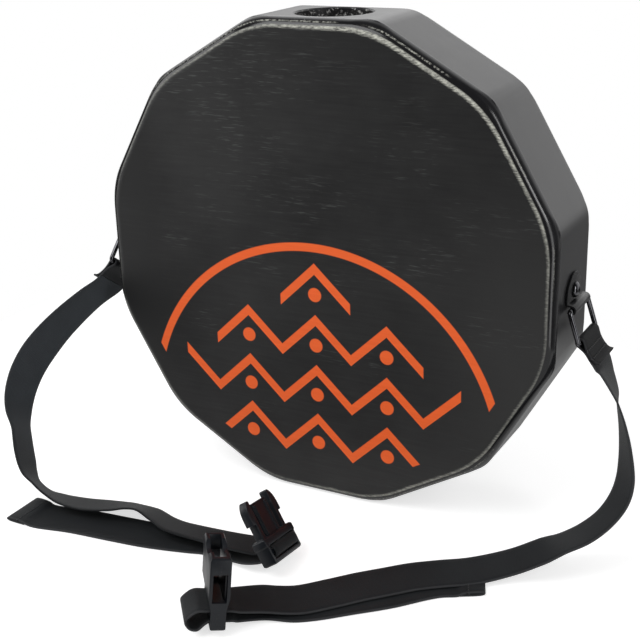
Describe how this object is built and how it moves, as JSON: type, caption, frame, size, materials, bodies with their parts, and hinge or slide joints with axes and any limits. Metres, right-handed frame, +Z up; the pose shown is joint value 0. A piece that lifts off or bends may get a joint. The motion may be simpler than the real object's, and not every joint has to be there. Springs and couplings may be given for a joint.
{
  "type": "portable cajon",
  "caption": "Slim round-cornered drum of mitred black staves with a struck front panel, a sound port on top and a webbing carrying strap on side lugs.",
  "frame": {"origin": "on the floor, under the middle of the drum", "axes": "+X to the right seen from the front, the struck front panel faces -Y, +Z up"},
  "size_m": [0.5177, 0.3176, 0.4],
  "materials": {
    "lacquer": "gloss black lacquer",
    "stained_ply": "matt black stain",
    "bare_wood": "bare",
    "black_steel": "satin black",
    "bright_steel": "zinc plated",
    "webbing": "woven",
    "moulded_nylon": "satin"
  },
  "bodies": {
    "drum": {"stave_01_top": "lacquer", "stave_02": "lacquer", "stave_03": "lacquer", "stave_04_right": "lacquer", "stave_05": "lacquer", "stave_06": "lacquer", "stave_07_bottom": "lacquer", "stave_08": "lacquer", "stave_09": "lacquer", "stave_10_left": "lacquer", "stave_11": "lacquer", "stave_12": "lacquer", "front_panel": "stained_ply", "back_panel": "stained_ply", "snare_rail": "bare_wood", "snare_comb": "bright_steel", "lug_right": "black_steel", "lug_screw_right": "black_steel", "lug_washer_right": "bright_steel", "lug_nut_right": "bright_steel", "lug_left": "black_steel", "lug_screw_left": "black_steel", "lug_washer_left": "bright_steel", "lug_nut_left": "bright_steel", "buckle_socket": "moulded_nylon", "buckle_prongs": "moulded_nylon", "strap_right": "webbing", "strap_left": "webbing", "strap_tail_right": "webbing", "strap_tail_left": "webbing"},
    "ring_right_body": {"ring_right": "black_steel", "strap_fold_right": "webbing"},
    "ring_left_body": {"ring_left": "black_steel", "strap_fold_left": "webbing"}
  },
  "joints": [
    {"name": "ring_right_swing", "type": "hinge", "parent": "drum", "child": "ring_right_body", "pos_m": [0.205, 0, 0.189], "axis": [0, -1, 0], "range_deg": [-18, 130], "deforming": ["strap_right"]},
    {"name": "ring_left_swing", "type": "hinge", "parent": "drum", "child": "ring_left_body", "pos_m": [-0.205, -0.00631, 0.19099], "axis": [0, 0.8192, -0.5736], "range_deg": [-7, 130], "deforming": ["strap_left"]}
  ]
}
